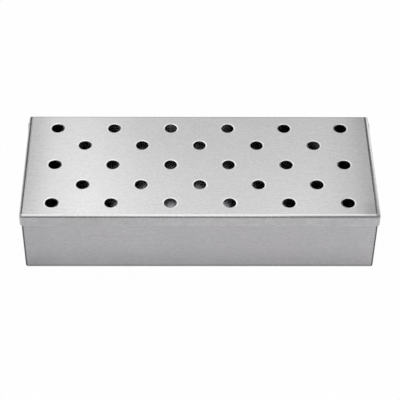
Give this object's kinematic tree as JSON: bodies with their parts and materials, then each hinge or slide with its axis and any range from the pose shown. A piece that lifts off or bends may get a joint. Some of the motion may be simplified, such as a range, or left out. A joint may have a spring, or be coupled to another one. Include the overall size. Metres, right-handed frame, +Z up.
{
  "type": "grill smoker box",
  "caption": "Flat stainless steel smoker box for wood chips: a plain deep tray with rounded corners under a hinged, skirted lid with staggered rows of round smoke vents.",
  "frame": {"origin": "on the resting plane, under the middle of the closed lid", "axes": "+X along the box, the front is the -Y side with the hinge at the rear, +Z up"},
  "size_m": [0.2322, 0.094, 0.0495],
  "materials": {
    "brushed_lid": "brushed along the box",
    "brushed_tray": "brushed, grain along the front and up the ends",
    "rivet_steel": "plain satin"
  },
  "bodies": {
    "tray": {"tray": "brushed_tray", "hinge_rivet_left": "rivet_steel", "hinge_rivet_right": "rivet_steel"},
    "lid": {"lid": "brushed_lid"}
  },
  "joints": [
    {"name": "lid_hinge", "type": "hinge", "parent": "tray", "child": "lid", "pos_m": [0, 0.0426, 0.0443], "axis": [-1, 0, 0], "range_deg": [0, 100]}
  ]
}
